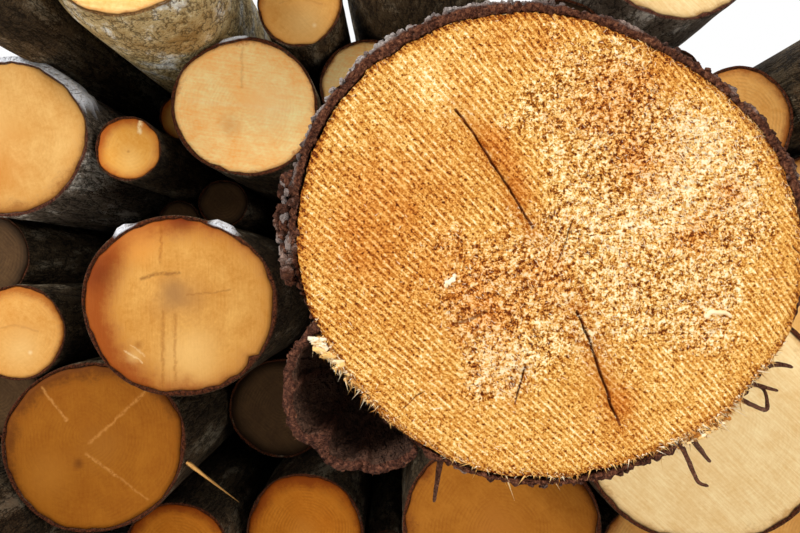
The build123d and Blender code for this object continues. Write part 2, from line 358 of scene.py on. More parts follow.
class Sheet:
    """A node tree that is being filled: a material's, or a shader group's with named sockets."""

    def __init__(self, tree):
        self.tree = tree

    def node(self, kind, inputs=None, **settings):
        made = self.tree.nodes.new(kind)
        for key, value in settings.items():
            setattr(made, key, value)
        for key, value in (inputs or {}).items():
            self.feed(made.inputs[key], value)
        return made

    def feed(self, socket, value):
        """A link into a socket, or a plain value on it."""
        value = value.socket if isinstance(value, Flow) else value
        if isinstance(value, bpy.types.NodeSocket):
            self.tree.links.new(value, socket)
        else:
            socket.default_value = value

    def math(self, operation, a, b=0.0, clamp=False):
        made = self.node("ShaderNodeMath", {0: a, 1: b}, operation=operation, use_clamp=clamp)
        return Flow(self, made.outputs[0])

    def vector(self, operation, a, b=(0.0, 0.0, 0.0)):
        made = self.node("ShaderNodeVectorMath", {0: a, 1: b}, operation=operation)
        number = operation in ("LENGTH", "DISTANCE", "DOT_PRODUCT")
        return Flow(self, made.outputs["Value" if number else "Vector"])

    def sized(self, vector, factor):
        """A vector times a number."""
        return self.node("ShaderNodeVectorMath", {0: vector, "Scale": factor}, operation="SCALE").outputs[0]

    def scaled(self, vector, scale):
        """A pattern position, multiplied along each axis."""
        return self.node("ShaderNodeMapping", {"Vector": vector, "Scale": scale}).outputs[0]

    def noise(self, vector, scale, detail=3.0, rough=0.55):
        """Cloudy noise, about 0.5 on the whole."""
        inputs = {"Vector": vector, "Scale": scale, "Detail": detail, "Roughness": rough}
        return Flow(self, self.node("ShaderNodeTexNoise", inputs).outputs["Fac"])

    def span(self, value, low, high):
        """0 at low and 1 at high, with a smooth step between."""
        inputs = {"Value": value, "From Min": low, "From Max": high}
        made = self.node("ShaderNodeMapRange", inputs, interpolation_type="SMOOTHSTEP")
        return Flow(self, made.outputs[0])

    def mix(self, share, first, second, blend="MIX"):
        """The first colour with a share of the second laid over it."""
        made = self.node("ShaderNodeMix", {0: share}, data_type="RGBA", blend_type=blend)
        for socket, colour in ((made.inputs[6], first), (made.inputs[7], second)):
            self.feed(socket, paint(colour) if isinstance(colour, tuple) else colour)
        return made.outputs[2]

    def ramp(self, value, stops):
        """Colours along a value: a list of places from 0 to 1 with their colours."""
        made = self.node("ShaderNodeValToRGB", {"Fac": value})
        elements = made.color_ramp.elements
        while len(elements) < len(stops):
            elements.new(0.5)
        for element, (place, colour) in zip(elements, stops):
            element.position = place
            element.color = paint(colour)
        return made.outputs["Color"]

    def read(self, name):
        """A value that the mesh carries point by point."""
        return Flow(self, self.node("ShaderNodeAttribute", attribute_name=name).outputs["Fac"])

    def place(self):
        """Position in the finished object."""
        return self.node("ShaderNodeTexCoord").outputs["Object"]

    def section(self):
        """Position across a log's end."""
        return self.node("ShaderNodeUVMap", uv_map="section").outputs[0]

    def use(self, name, inputs):
        """A shader group placed here, with its inputs fed; gives its outputs."""
        made = self.node("ShaderNodeGroup", inputs, node_tree=bpy.data.node_groups[name])
        return {socket.name: Flow(self, socket) for socket in made.outputs}

    def finish(self, colour, roughness, height=None, strength=1.0, depth=0.001):
        """Colour, roughness and bump of the material that this tree belongs to."""
        shader = self.tree.nodes["Principled BSDF"]
        self.feed(shader.inputs["Base Color"], colour)
        shader.inputs["Roughness"].default_value = roughness
        if height is not None:
            bump = self.node("ShaderNodeBump", {"Height": height, "Strength": strength, "Distance": depth})
            self.feed(shader.inputs["Normal"], bump.outputs[0])


def shader_group(name, inputs, outputs):
    """An empty shader group with its sockets: each is a name, a kind and, for an input, a value."""
    tree = bpy.data.node_groups.new(name, "ShaderNodeTree")
    for label, kind, value in inputs:
        socket = tree.interface.new_socket(name=label, in_out="INPUT", socket_type="NodeSocket" + kind)
        if value is not None:
            socket.default_value = value
    for label, kind in outputs:
        tree.interface.new_socket(name=label, in_out="OUTPUT", socket_type="NodeSocket" + kind)
    sheet = Sheet(tree)
    given = {socket.name: Flow(sheet, socket) for socket in sheet.node("NodeGroupInput").outputs}
    return sheet, given, sheet.node("NodeGroupOutput").inputs


# Shared effect: growth rings. Distance from the pith, pushed about by noise and cut into rings
sheet, given, made = shader_group(
    "growth_rings",
    [("Section", "Vector", None), ("Pith", "Vector", (0, 0, 0)), ("Ring Width", "Float", 0.003),
     ("Wobble", "Float", 0.004)],
    [("Late Wood", "Float")],
)
out = sheet.vector("DISTANCE", given["Section"], given["Pith"])
out = out + sheet.noise(given["Section"], 22.0, 2.0) * given["Wobble"]
turn = sheet.math("FRACT", out / given["Ring Width"])
late = sheet.span(turn, 0.2, 0.85) * sheet.span(turn, 1.0, 0.88)
fade = sheet.span(sheet.noise(given["Section"], 34.0, 2.0), 0.4, 0.62)
sheet.feed(made["Late Wood"], late * fade)

# Shared effect: drawn streaks. Noise stretched along one direction of a sawn end
sheet, given, made = shader_group(
    "saw_streaks",
    [("Section", "Vector", None), ("Turn", "Float", 0.8), ("Fineness", "Float", 500.0)],
    [("Streaks", "Float")],
)
inputs = {"Vector": given["Section"], "Angle": given["Turn"]}
turned = sheet.node("ShaderNodeVectorRotate", inputs, rotation_type="Z_AXIS")
drawn = sheet.scaled(turned.outputs[0], (0.07, 1.0, 1.0))
sheet.feed(made["Streaks"], sheet.noise(drawn, given["Fineness"], 3.0, 0.6))

# Shared effect: a line on a sawn end from a start to an end, with soft and uneven edges
sheet, given, made = shader_group(
    "line_mark",
    [("Section", "Vector", None), ("Start", "Vector", (0, 0, 0)), ("End", "Vector", (0, 0, 0)),
     ("Width", "Float", 0.002), ("Softness", "Float", 0.5), ("Wander", "Float", 0.001)],
    [("Line", "Float")],
)
inputs = {"Vector": given["Section"], "Scale": 130.0, "Detail": 3.0}
waver = sheet.node("ShaderNodeTexNoise", inputs).outputs["Color"]
waver = sheet.sized(sheet.vector("SUBTRACT", waver, (0.5, 0.5, 0.5)), given["Wander"])
reach = sheet.vector("SUBTRACT", given["End"], given["Start"])
away = sheet.vector("SUBTRACT", sheet.vector("ADD", given["Section"], waver), given["Start"])
along = sheet.vector("DOT_PRODUCT", away, reach)
run = sheet.math("DIVIDE", along, sheet.vector("DOT_PRODUCT", reach, reach), clamp=True)
off = sheet.vector("SUBTRACT", away, sheet.sized(reach, run))
off = sheet.vector("LENGTH", sheet.vector("MULTIPLY", off, (1.0, 1.0, 0.0)))
half = given["Width"] * 0.5
sheet.feed(made["Line"], sheet.span(off, half, half * (1.0 - given["Softness"])))

# Shared effect: bark. Long broken plates with dark seams between them, fine grit and pale crust in patches
sheet, given, made = shader_group(
    "broken_bark",
    [("Position", "Vector", None), ("Plate Size", "Float", 0.012), ("Crust", "Float", 0.5)],
    [("Seams", "Float"), ("Crust", "Float"), ("Tone", "Float"), ("Height", "Float")],
)
along = sheet.scaled(given["Position"], (1.0, 0.22, 1.0))
plates = sheet.noise(along, sheet.math("DIVIDE", 1.0, given["Plate Size"]), 4.0, 0.62)
ridge = sheet.math("ABSOLUTE", plates - 0.5)
grit = sheet.noise(given["Position"], 380.0, 4.0, 0.7)
patches = sheet.noise(along, 30.0, 5.0, 0.65)
sheet.feed(made["Seams"], sheet.span(ridge, 0.045, 0.0))
sheet.feed(made["Crust"], sheet.span(grit * 0.35 + patches, 0.7, 0.82) * given["Crust"])
sheet.feed(made["Tone"], grit * 0.5 + patches * 0.5)
sheet.feed(made["Height"], grit * 0.45 + sheet.span(ridge, 0.0, 0.14))


# Materials

def new_material(name):
    """A matt material and its node tree."""
    material = bpy.data.materials.new(name)
    material.use_nodes = True
    shader = material.node_tree.nodes["Principled BSDF"]
    shader.inputs["Specular IOR Level"].default_value = 0.12
    return material, Sheet(material.node_tree)


def metres(x, z):
    """A place across a log's end, in m, from mm."""
    return (x / 1000, z / 1000, 0)


def bent_line(sheet, section, path, width, softness, wander):
    """Mask of a bent line through points in mm."""
    total = None
    for start, end in zip(path[:-1], path[1:]):
        line = sheet.use("line_mark", {
            "Section": section, "Start": metres(*start), "End": metres(*end), "Width": width / 1000,
            "Softness": softness, "Wander": wander})["Line"]
        total = line if total is None else sheet.math("MAXIMUM", total, line)
    return total


def sawn_wood(name, body, light, rim, heart, rim_start=0.8, dark_side=(0, 0), rings=0.2, pith=(0, 0),
              streaks=0.4, turn=0.8, patches=0.6, spots=(), lines=()):
    """Sawn end of a log. Body and light colours in soft patches and drawn streaks; heart colour near the
    pith; rim colour from a share of the radius outwards, further in on the dark side; late-wood rings; then
    round spots (x, z, radius, amount, colour) and lines (points, width, amount, colour), in mm."""
    material, sheet = new_material(name)
    section = sheet.section()
    out = sheet.read("out")
    cloud = sheet.noise(section, 26.0, 5.0, 0.62) - 0.5
    streak = sheet.use("saw_streaks", {"Section": section, "Turn": turn, "Fineness": 420.0})["Streaks"]
    grain = sheet.noise(section, 230.0, 4.0, 0.7)
    value = cloud * (3.2 * patches) + 0.5 + (streak - 0.5) * (1.6 * streaks) + (grain - 0.5) * 1.1
    colour = sheet.mix(value, body, light)
    colour = sheet.mix(sheet.span(cloud * 0.5 + out, 0.42, 0.0) * 0.6, colour, heart)
    ring = sheet.use(
        "growth_rings", {"Section": section, "Pith": metres(*pith), "Ring Width": 0.0038, "Wobble": 0.012})
    colour = sheet.mix(ring["Late Wood"] * rings, colour, rim)
    side = math.radians(dark_side[0])
    slope = (math.cos(side) * dark_side[1] * 10, math.sin(side) * dark_side[1] * 10, 0)
    far = out + sheet.vector("DOT_PRODUCT", section, slope) + cloud * 0.5 + (grain - 0.5) * 0.25
    colour = sheet.mix(sheet.span(far, rim_start, 1.06) * 0.9, colour, rim)
    for x, z, radius, amount, tint in spots:
        off = sheet.vector("DISTANCE", section, metres(x, z)) + cloud * (radius / 900)
        colour = sheet.mix(sheet.span(off, radius / 1000, 0.0) * amount, colour, tint)
    for path, width, amount, tint in lines:
        mask = bent_line(sheet, section, path, 1.5 * width, 1.0, 0.006)
        colour = sheet.mix(mask * sheet.span(grain, 0.3, 0.55) * amount, colour, tint)
    colour = sheet.mix(sheet.span(out, 0.985, 1.0) * 0.7, colour, (64, 28, 10))
    sheet.finish(colour, 0.75, streak + grain, 0.35, 0.0008)
    return material


def bark_material(name, seam, dark, light, crust, crust_share, plate, raw, across=1.0,
                  frost_tint=(240, 242, 248), butt=None):
    """Bark: seams, plates and crust by the shared bark effect; its own red-brown where it was sawn through,
    and frost or pale crust where the mesh asks for it. A butt, given as two places in m along the log, keeps
    these colours before the first and turns to dark bark by the second."""
    material, sheet = new_material(name)
    place = sheet.place()
    where = sheet.scaled(place, (1.0, across, 1.0))
    bark = sheet.use("broken_bark", {"Position": where, "Plate Size": plate, "Crust": crust_share})
    tone = sheet.span(bark["Tone"], 0.36, 0.66)
    colour = sheet.mix(bark["Crust"], sheet.mix(tone, dark, light), crust)
    if butt:
        back = sheet.node("ShaderNodeSeparateXYZ", {"Vector": place}).outputs["Y"]
        back = (bark["Tone"] - 0.5) * 0.6 + back
        colour = sheet.mix(sheet.span(back, *butt), colour, sheet.mix(tone, (48, 39, 28), (130, 110, 80)))
    colour = sheet.mix(bark["Seams"] * 0.8, colour, seam)
    speck = sheet.noise(where, 520.0, 4.0, 0.7)
    torn = sheet.ramp(speck, [(0.3, seam), (0.45, raw[0]), (0.62, raw[1]), (0.78, raw[2])])
    colour = sheet.mix(sheet.read("sawn"), colour, torn)
    grain = sheet.noise(where, 240.0, 4.0, 0.7)
    colour = sheet.mix(sheet.read("pale") * sheet.span(grain, 0.24, 0.44), colour, frost_tint)
    sheet.finish(colour, 0.85, bark["Height"], 1.0, 0.0022)
    return material


cream = (252, 222, 166)
orange_wood = sawn_wood(
    "orange_wood", body=(214, 142, 58), light=(240, 184, 106), rim=(150, 74, 14),
    heart=(206, 146, 76))
tan_wood = sawn_wood(
    "tan_wood", body=(222, 160, 80), light=(242, 194, 124), rim=(176, 108, 40),
    heart=(222, 160, 84), turn=1.9)
wood_a = sawn_wood(
    "broad_tan_wood", body=(200, 140, 64), light=(226, 178, 106), rim=(158, 100, 40),
    heart=(210, 152, 78), rings=0.06, streaks=0.25, turn=1.3, rim_start=0.84, dark_side=(-110, 0.1),
    spots=[(-10, -30, 50, 0.55, (200, 126, 46)), (-40, 20, 60, 0.3, (244, 200, 130))])
wood_b = sawn_wood(
    "small_orange_wood", body=(222, 146, 48), light=(240, 184, 96), rim=(172, 78, 12),
    heart=(226, 166, 84), rings=0.1, streaks=0.2, rim_start=0.62, dark_side=(140, 0.3),
    spots=[(2, -14, 20, 0.5, (244, 196, 116)), (0, -3, 3, 0.5, (160, 84, 26))],
    lines=[([(12.5, 18), (13.5, 30)], 4.5, 0.9, cream)])
wood_d = sawn_wood(
    "peach_wood", body=(255, 176, 88), light=(255, 230, 160), rim=(200, 110, 40),
    heart=(255, 184, 100), rings=0.08, streaks=0.6, turn=0.15, rim_start=0.93, dark_side=(60, 0.04),
    spots=[(-15, -21, 20, 0.5, (216, 138, 64)), (30, 0, 46, 0.4, (254, 220, 156))],
    lines=[([(-2.5, 64), (-3, 20)], 3.4, 0.35, (196, 126, 58)),
           ([(-60, 6), (-10, 2), (50, -4)], 5, 0.22, cream)])
wood_e = sawn_wood(
    "dark_rimmed_wood", body=(198, 130, 48), light=(230, 172, 90), rim=(150, 62, 4),
    heart=(186, 134, 76), rings=0.05, streaks=0.3, turn=1.55, rim_start=0.66, dark_side=(165, 0.2),
    spots=[(-8, 12, 24, 0.6, (164, 118, 70)), (12, -48, 46, 0.6, (252, 204, 126)),
           (2, 90, 22, 0.8, (110, 34, 4)), (-86, 34, 40, 0.6, (104, 36, 6)),
           (-40, 62, 34, 0.5, (236, 160, 74)), (-47, -52, 12, 0.45, (244, 196, 120)),
           (-42, -40, 7, 0.6, (164, 98, 34))],
    lines=[([(-17, -6), (-17, -82)], 4.2, 0.55, (164, 100, 36)),
           ([(-5, -8), (-4, -76)], 4.2, 0.5, (168, 104, 40)),
           ([(-40, 28), (-24, 33), (-1, 33)], 4.0, 0.7, (140, 86, 36)),
           ([(-19, 86), (-20, 44)], 4.0, 0.5, (156, 84, 20)),
           ([(7, 11), (30, 13), (52, 17)], 2.6, 0.55, (168, 104, 44)),
           ([(-56, -46), (-38, -58)], 2.2, 0.5, cream), ([(-50, -40), (-34, -52)], 1.8, 0.3, cream)])
wood_f = sawn_wood(
    "small_tan_wood", body=(214, 142, 56), light=(240, 184, 104), rim=(170, 92, 24),
    heart=(222, 156, 76), rings=0.08, streaks=0.2, rim_start=0.8, dark_side=(100, 0.2),
    spots=[(6, -18, 34, 0.6, (242, 196, 124)), (16, -22, 4, 0.7, cream)],
    lines=[([(-22, 4), (0, 8), (24, 2)], 3, 0.3, (176, 106, 44))])
wood_g = sawn_wood(
    "brown_wood", body=(146, 80, 10), light=(172, 106, 26), rim=(104, 52, 6), heart=(166, 104, 34),
    rings=0.14, pith=(-12, 12), streaks=0.3, turn=1.5, rim_start=0.84, dark_side=(100, 0.12), patches=0.5,
    spots=[(-16, -18, 10, 0.7, (104, 52, 10)), (-50, -30, 40, 0.4, (190, 124, 44))],
    lines=[([(-58, 65), (-30, 30)], 3.4, 0.5, (222, 158, 84)),
           ([(57, 61), (26, 32), (-4, 5)], 3.8, 0.5, (216, 150, 74)),
           ([(-8, -7), (24, -30)], 3.8, 0.55, (214, 150, 76)),
           ([(24, -30), (61, -57)], 3.0, 0.35, (214, 150, 76))])
wood_h = sawn_wood(
    "rust_wood", body=(192, 104, 14), light=(220, 138, 40), rim=(140, 58, 4),
    heart=(214, 138, 50), rings=0.25, rim_start=0.8, dark_side=(110, 0.2))
wood_j = sawn_wood(
    "ochre_wood", body=(146, 84, 14), light=(174, 110, 34), rim=(110, 52, 6),
    heart=(170, 106, 38), rings=0.2, rim_start=0.86)
wood_k = sawn_wood(
    "pale_wood", body=(232, 190, 126), light=(250, 222, 166), rim=(206, 156, 92),
    heart=(238, 198, 136), rings=0.1, streaks=1.1, turn=0.75, rim_start=0.93,
    spots=[(20, 60, 50, 0.3, (220, 168, 96))])
weathered_wood = sawn_wood(
    "weathered_wood", body=(70, 48, 28), light=(104, 76, 46), rim=(36, 24, 14), heart=(84, 60, 36),
    rings=0.3, streaks=0.6, rim_start=0.7)
dark_bark = bark_material(
    "dark_bark", seam=(9, 7, 5), dark=(42, 34, 25), light=(104, 86, 62), crust=(158, 148, 126),
    crust_share=0.5, plate=0.013, raw=[(70, 34, 18), (104, 54, 28), (140, 84, 48)])
grey_bark = bark_material(
    "grey_bark", seam=(18, 15, 12), dark=(84, 72, 60), light=(160, 144, 124), crust=(226, 218, 204),
    crust_share=0.85, plate=0.013, raw=[(70, 36, 26), (104, 60, 40), (140, 92, 66)])
# The mossy bark is pale of itself, and is painted paler still as painted light that makes up for the shade on
# its log's underside
mossy_bark = bark_material(
    "mossy_bark", seam=(80, 58, 26), dark=(176, 138, 76), light=(255, 238, 184), crust=(255, 253, 244),
    crust_share=0.95, plate=0.016, raw=[(90, 60, 30), (140, 104, 60), (180, 144, 96)], across=3.0,
    butt=(-0.8, -0.5))
front_bark = bark_material(
    "front_bark", seam=(22, 8, 4), dark=(62, 34, 24), light=(116, 72, 52), crust=(178, 152, 138),
    crust_share=0.9, plate=0.006, raw=[(84, 46, 32), (136, 86, 60), (204, 154, 120)],
    frost_tint=(206, 196, 190))

wood_of = {
    "row_5_log_1": wood_a, "row_5_log_2": wood_b, "row_5_log_3": wood_d, "row_3_log_3": wood_e,
    "row_3_log_2": wood_f, "row_2_log_3": wood_g, "row_1_log_4": wood_h, "row_1_log_6": wood_j,
    "row_2_log_7": wood_k, "row_1_log_3": wood_h, "row_6_log_3": wood_d, "row_6_log_8": wood_k,
    "row_1_log_1": tan_wood, "row_2_log_8": tan_wood, "row_3_log_6": tan_wood, "row_4_log_1": weathered_wood,
    "row_2_log_2": weathered_wood, "row_4_log_4": weathered_wood,
    # row_5_log_4 takes the paler peach wood as painted light, to make up for the shade it lies in further
    # back
    "row_1_log_9": wood_k, "row_6_log_5": tan_wood, "row_6_log_4": wood_f, "row_5_log_4": wood_d,
    "row_6_log_2": wood_b,
}
wood_of.update({name: weathered_wood for name in hidden_logs})
bark_of = {
    "row_6_log_3": mossy_bark, "row_5_log_1": grey_bark, "row_6_log_8": grey_bark, "row_1_log_1": grey_bark,
}

# Old frost on the bark near the front ends: log, angle, half width in degrees, reach back and height in mm
frost = [("row_5_log_1", 66, 44, 70, 6.5), ("row_3_log_3", 128, 6, 30, 6.0), ("row_3_log_3", 62, 8, 30, 4.5),
         ("row_5_log_3", 100, 11, 34, 4.0)]


# Ordinary logs

def bark_tube(node, rims, columns, rows, thick, seed):
    """Bark of a log, a closed tube wall. Each row goes round the log at a distance along it and a depth in:
    up the inner wall at the front end, over the chipped rim, along the side, and back in at the far end.
    The side is set in by 0.2 to 3.3 mm of fractal noise, longer along the log than across. Frost is a hill
    of its height round its middle, broken up by noise."""
    angle = round_angles(columns)[None, :]
    length = (rims[-1].at(angle[0])[:, 1] - rims[0].at(angle[0])[:, 1]).mean()
    r = rims[0].mean_radius
    ex, ez = np.cos(angle) * r, np.sin(angle) * r
    wall = np.clip(thick * (1 + 0.75 * fractal(ex / 16, seed, ez / 16, 4, 5)), 1.2, 9)
    if node == "row_3_log_3":  # an ingrown fold of bark at the lower right
        wall = wall + 6.5 * bell(angle, turn_round - 0.64, 0.05)
    chips = np.clip(fractal(ex / 9, seed, ez / 9, 3, 9), 0, 1) * 3.0
    flat = 0 * wall
    ends = [
        (flat + 12, wall + 1.2), (flat + 3, wall + 0.4), (0.9 + chips, wall - 0.3),
        (0.3 + chips, wall * 0.75), (0.2 + 0.6 * chips, wall * 0.4), (0.9 + 0.8 * chips, 0.9 + 0.3 * chips),
        (3.5 + 0.5 * chips, flat + 0.5), (flat + 9, flat + 0.4),
    ]
    sides = [(flat + s, flat) for s in 24 + (length - 48) * np.linspace(0, 1, rows) ** 1.5]
    order = ends + sides + [(length - a, depth) for a, depth in ends[::-1]]
    along, inward = (np.concatenate(values) for values in zip(*order))
    relief = np.clip(1.1 + 1.5 * fractal(ex / 16, along / 60 + seed, ez / 16, 3, 3), 0.1, 3.2)
    on_side = step(4, 30, along) * step(4, 30, length - along)
    inward = np.where(inward < wall * 0.35, inward * (1 - on_side) + relief * on_side + 0.1, inward)
    sawn = (step(3.5, 1.6, along) + step(3.5, 1.6, length - along)) * step(0.8, 1.6, inward)
    pale = np.zeros_like(along)
    for name, middle, half, back, height in frost:
        if name == node:
            swing = bell(np.degrees(angle), middle, half) * bell(along, 0, back)
            swing = step(0.3, 0.42, swing + 0.22 * fractal(ex / 8, along / 8, ez / 8, 3, 6))
            pale = np.maximum(pale, swing * (inward < 0.7 * wall))
            inward = inward - height * swing * step(1.5, 6, along) * (inward < 0.5 * wall)
    points = skin(rims, np.broadcast_to(angle, along.shape), along, inward)
    piece = ring_piece(
        node + "_bark", points, bark_of.get(node, dark_bark), closed=True,
        values={"sawn": np.clip(sawn, 0, 1) * (1 - pale), "pale": pale})
    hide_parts(node)
    return wall


def wood_core(node, rims, columns, face_rows, wall, seed):
    """Wood of a log, closed: rows of circles from the middle of the front end out to the bark, along inside
    it, and in again at the back. The ends are set in by 1.1 mm, more or less 0.6 mm of fractal noise, and by
    1.2 mm more at the rim."""
    angle = round_angles(columns)
    pith = 0.1 * rims[0].mean_radius * np.array([math.cos(seed * 2.4), math.sin(seed * 2.4)])
    rows, sections, outs = [], [], []
    front = np.linspace(0.04, 1, face_rows) ** 0.85
    back = np.linspace(0.06, 1, 8)[::-1] ** 0.85
    for rim, order, sign in ((rims[0], front, 1), (rims[-1], back, -1)):
        for share in order:
            p = rim.at(angle, wall[0] + 0.35, share)
            dx = p[:, 0] - rim.middle[0]
            dz = p[:, 2] - rim.middle[1]
            sink = 1.1 + 0.6 * fractal(dx / 30, seed, dz / 30, 3, 7) + 1.2 * step(0.965, 1, share)
            p[:, 1] += sign * sink
            rows.append(p)
            sections.append(np.stack([dx, dz], -1) * 0.001)
            off = np.hypot(dx - pith[0] * (1 - share), dz - pith[1] * (1 - share))
            outs.append(off / np.hypot(dx, dz) * share)
        if sign > 0:
            for r, direction in ((rims[0], 1), (rims[-1], -1)):
                p = r.at(angle, wall[0] + 0.35)
                p[:, 1] += direction * 14
                rows.append(p)
                sections.append(sections[-1])
                outs.append(np.ones(columns))
    piece = ring_piece(
        node + "_wood", np.stack(rows), wood_of.get(node, orange_wood), uv=np.stack(sections),
        values={"out": np.clip(np.stack(outs), 0, 1)})
    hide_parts(node)


for seed, node in enumerate(log_names):
    if node == "front_log":
        continue
    rims = log_rims(node)
    plain = node in hidden_logs
    columns = 48 if plain else 80
    thick = 1.8 + 0.026 * rims[0].mean_radius
    wall = bark_tube(node, rims, columns, 16 if plain else 44, thick, seed * 3.7)
    wood_core(node, rims, columns, 6 if plain else 16, wall, seed * 3.7)


# The thick front log

front_rims = log_rims("front_log")
front_rim = front_rims[0]
face_middle = front_rim.middle
front_plane = front_rim.plane[0]


def on_face(x, z, back=0.0):
    """A place given right of and above the middle of the front log's end, some mm behind its plane."""
    return np.stack(np.broadcast_arrays(face_middle[0] + x, front_plane + back, face_middle[1] + z), -1)


# Bark round the front log by angle in degrees: thickness, gap to the wood, and how far it is broken back
bark_angles = [0, 30, 60, 90, 110, 130, 150, 165, 180, 188, 195, 231, 240, 280, 300, 310, 340, 350, 360]
bark_thick = [5.0, 4.4, 4.0, 4.8, 6.5, 7.4, 5.2, 3.8, 3.0, 2.2, 1.5, 1.8, 2.6, 3.8, 3.2, 1.6, 1.8, 3.8, 5.0]
bark_gaps = [0.4, 0.4, 0.4, 0.4, 0.5, 0.6, 1.0, 1.2, 1.2, 1.0, 0.6, 0.8, 1.0, 1.6, 1.2, 0.6, 0.5, 0.4, 0.4]
bark_back = [0.0, 0.0, 0.0, 0.0, 0.0, 0.0, 0.0, 0.0, 1.0, 6.0, 14.0, 14.0, 1.5, 1.0, 2.0, 7.0, 7.0, 1.0, 0.0]


def bark_round(angle):
    """Thickness, gap and broken-back depth of the front log's bark at angles in radians."""
    degrees = np.degrees(angle) % 360
    x, z = np.cos(angle), np.sin(angle)
    thick = np.interp(degrees, bark_angles, bark_thick) * (1 + 0.3 * fractal(x * 7, 0.3, z * 7, 4, 11))
    gap = np.interp(degrees, bark_angles, bark_gaps) * (1 + 0.5 * noise(x * 11, 4.1, z * 11, 12))
    back = np.interp(degrees, bark_angles, bark_back)
    return np.clip(thick, 1.0, 11), gap, back


def front_bark_tube(columns=800):
    """Bark of the front log, a closed tube wall as on the other logs but finer: its rim is broken by noise
    of 9 and 2.6 mm, and its side is cut by ridged noise, 1 - |n|, drawn out along the log, plus two finer
    and coarser noises. Each stop gives a distance along the log and a share of the bark's thickness."""
    angle = round_angles(columns)[None, :]
    thick, _, back = bark_round(angle)
    length = (front_rims[-1].at(angle[0])[:, 1] - front_rims[0].at(angle[0])[:, 1]).mean()
    r = front_rim.mean_radius
    ex, ez = np.cos(angle) * r, np.sin(angle) * r
    stops = [
        (18, 1), (7, 1), (2.6, 1), (1.4, 0.94), (0.9, 0.82), (0.6, 0.7), (0.5, 0.58), (0.5, 0.46),
        (0.6, 0.34), (0.9, 0.22), (1.6, 0.12), (2.6, 0.05), (4, 0.02), (6, 0), (9, 0), (13, 0),
    ]
    broken = np.clip(fractal(ex / 9, 1.7, ez / 9, 3, 21), -0.1, 1)
    along, inward = [], []
    for s, share in stops:
        fine = fractal(ex / 2.6, share * 5, ez / 2.6, 3, 41)
        rough = np.clip(3.6 * broken + 2.2 * fine + 0.8, 0, 6.5)
        along.append(s + back + rough)
        inward.append(thick * share + (1.0 * fine if 0.02 < share < 0.9 else 0))
    for s in 18 + (length - 34) * np.linspace(0, 1, 34) ** 1.9:
        along.append(np.maximum(s, 19 + back + s / 200) + 0 * angle)
        inward.append(0 * angle)
    for s, share in stops[:12][::-1]:
        along.append(length - s - 1.5 * np.clip(broken, 0, 1))
        inward.append(thick * share + 0.3)
    along = np.concatenate(along)
    inward = np.concatenate(inward)
    ridged = 1 - np.abs(fractal(ex / 7, along / 22, ez / 7, 3, 51))
    relief = 3.4 * step(0.78, 1.0, ridged) + 2.2 * fractal(ex / 3.4, along / 5, ez / 3.4, 3, 53)
    relief = relief + 2.0 * fractal(ex / 15, along / 40, ez / 15, 2, 52) - 0.5
    outer = step(0.5, 0.0, inward / thick)
    inward = inward + outer * np.clip(relief, -1.6, 4) * step(0.6, 2.5, along) * step(1, 6, length - along)
    sawn = step(9.0, 3.0, along - back) * step(0.1, 0.5, inward / thick)
    pale = step(0.3, 0.0, inward / thick) * bell(np.degrees(angle), 128, 34) * step(90, 30, along)
    points = skin(front_rims, np.broadcast_to(angle, along.shape), along, inward)
    piece = ring_piece(
        "front_log_bark", points, front_bark, closed=True,
        values={"sawn": np.clip(sawn, 0, 1), "pale": np.clip(pale * 0.8, 0, 1)})
    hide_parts("front_log")


front_bark_tube()


def rim_reach(angle):
    """Radius of the front log's wood: its bark outline, less the bark and the gap, less a ragged half mm."""
    thick, gap, back = bark_round(angle)
    ragged = 0.6 * np.clip(noise(np.cos(angle) * 60, 0.5, np.sin(angle) * 60, 61), -0.4, 1)
    ragged = ragged + 1.6 * np.clip(noise(np.cos(angle) * 34, 3.5, np.sin(angle) * 34, 62), 0, 1) * (back > 3)
    return front_rim.radius(angle) - thick - gap - 0.3 - ragged


def crumbs_round_rim(count=760):
    """Crumbs and nodules on the front log's bark, thickest on its right side and at the upper left."""
    rng = np.random.default_rng(5)
    heaps = {18: .2, 60: .13, 100: .12, 135: .17, 160: .12, 282: .06, 312: .07, 328: .07, 348: .06}
    places = rng.choice(list(heaps), count, p=list(heaps.values()))
    angle = np.radians(places + rng.normal(0, 1, count) * np.where((places > 300) & (places < 340), 6, 16))
    thick, _, back = bark_round(angle)
    share = rng.uniform(-0.1, 0.95, count)
    reach = front_rim.radius(angle) - thick * share
    depth = 1.8 + back + rng.uniform(0, 5, count) * (share < 0.3)
    size = rng.uniform(0.8, 2.1, (count, 1)) * np.array([[1.0, 1.1, 1.0]])
    centres = on_face(reach * np.cos(angle), reach * np.sin(angle), depth + size[:, 1])
    sawn = (share > 0.25) * rng.uniform(0.5, 1, count)
    pale = (share < 0.3) * bell(np.degrees(angle), 128, 36) * rng.uniform(0.3, 1, count)
    values = {"sawn": sawn, "pale": pale}
    piece = lumps("bark_crumbs", centres, size, front_bark, seed=6, values=values)


crumbs_round_rim()


def along_lines(x, z):
    """Face position turned so that the first value runs along the saw marks and the second across them."""
    p = x * math.cos(line_fall) + z * math.sin(line_fall)
    q = -x * math.sin(line_fall) + z * math.cos(line_fall)
    return p, q


def spots_at(x, z, places):
    """Sum of soft round spots, each exp(-d^2 / r^2) times its amount."""
    total = 0
    for px, pz, r, amount in places:
        total = total + amount * np.exp(-((x - px) ** 2 + (z - pz) ** 2) / r ** 2)
    return total


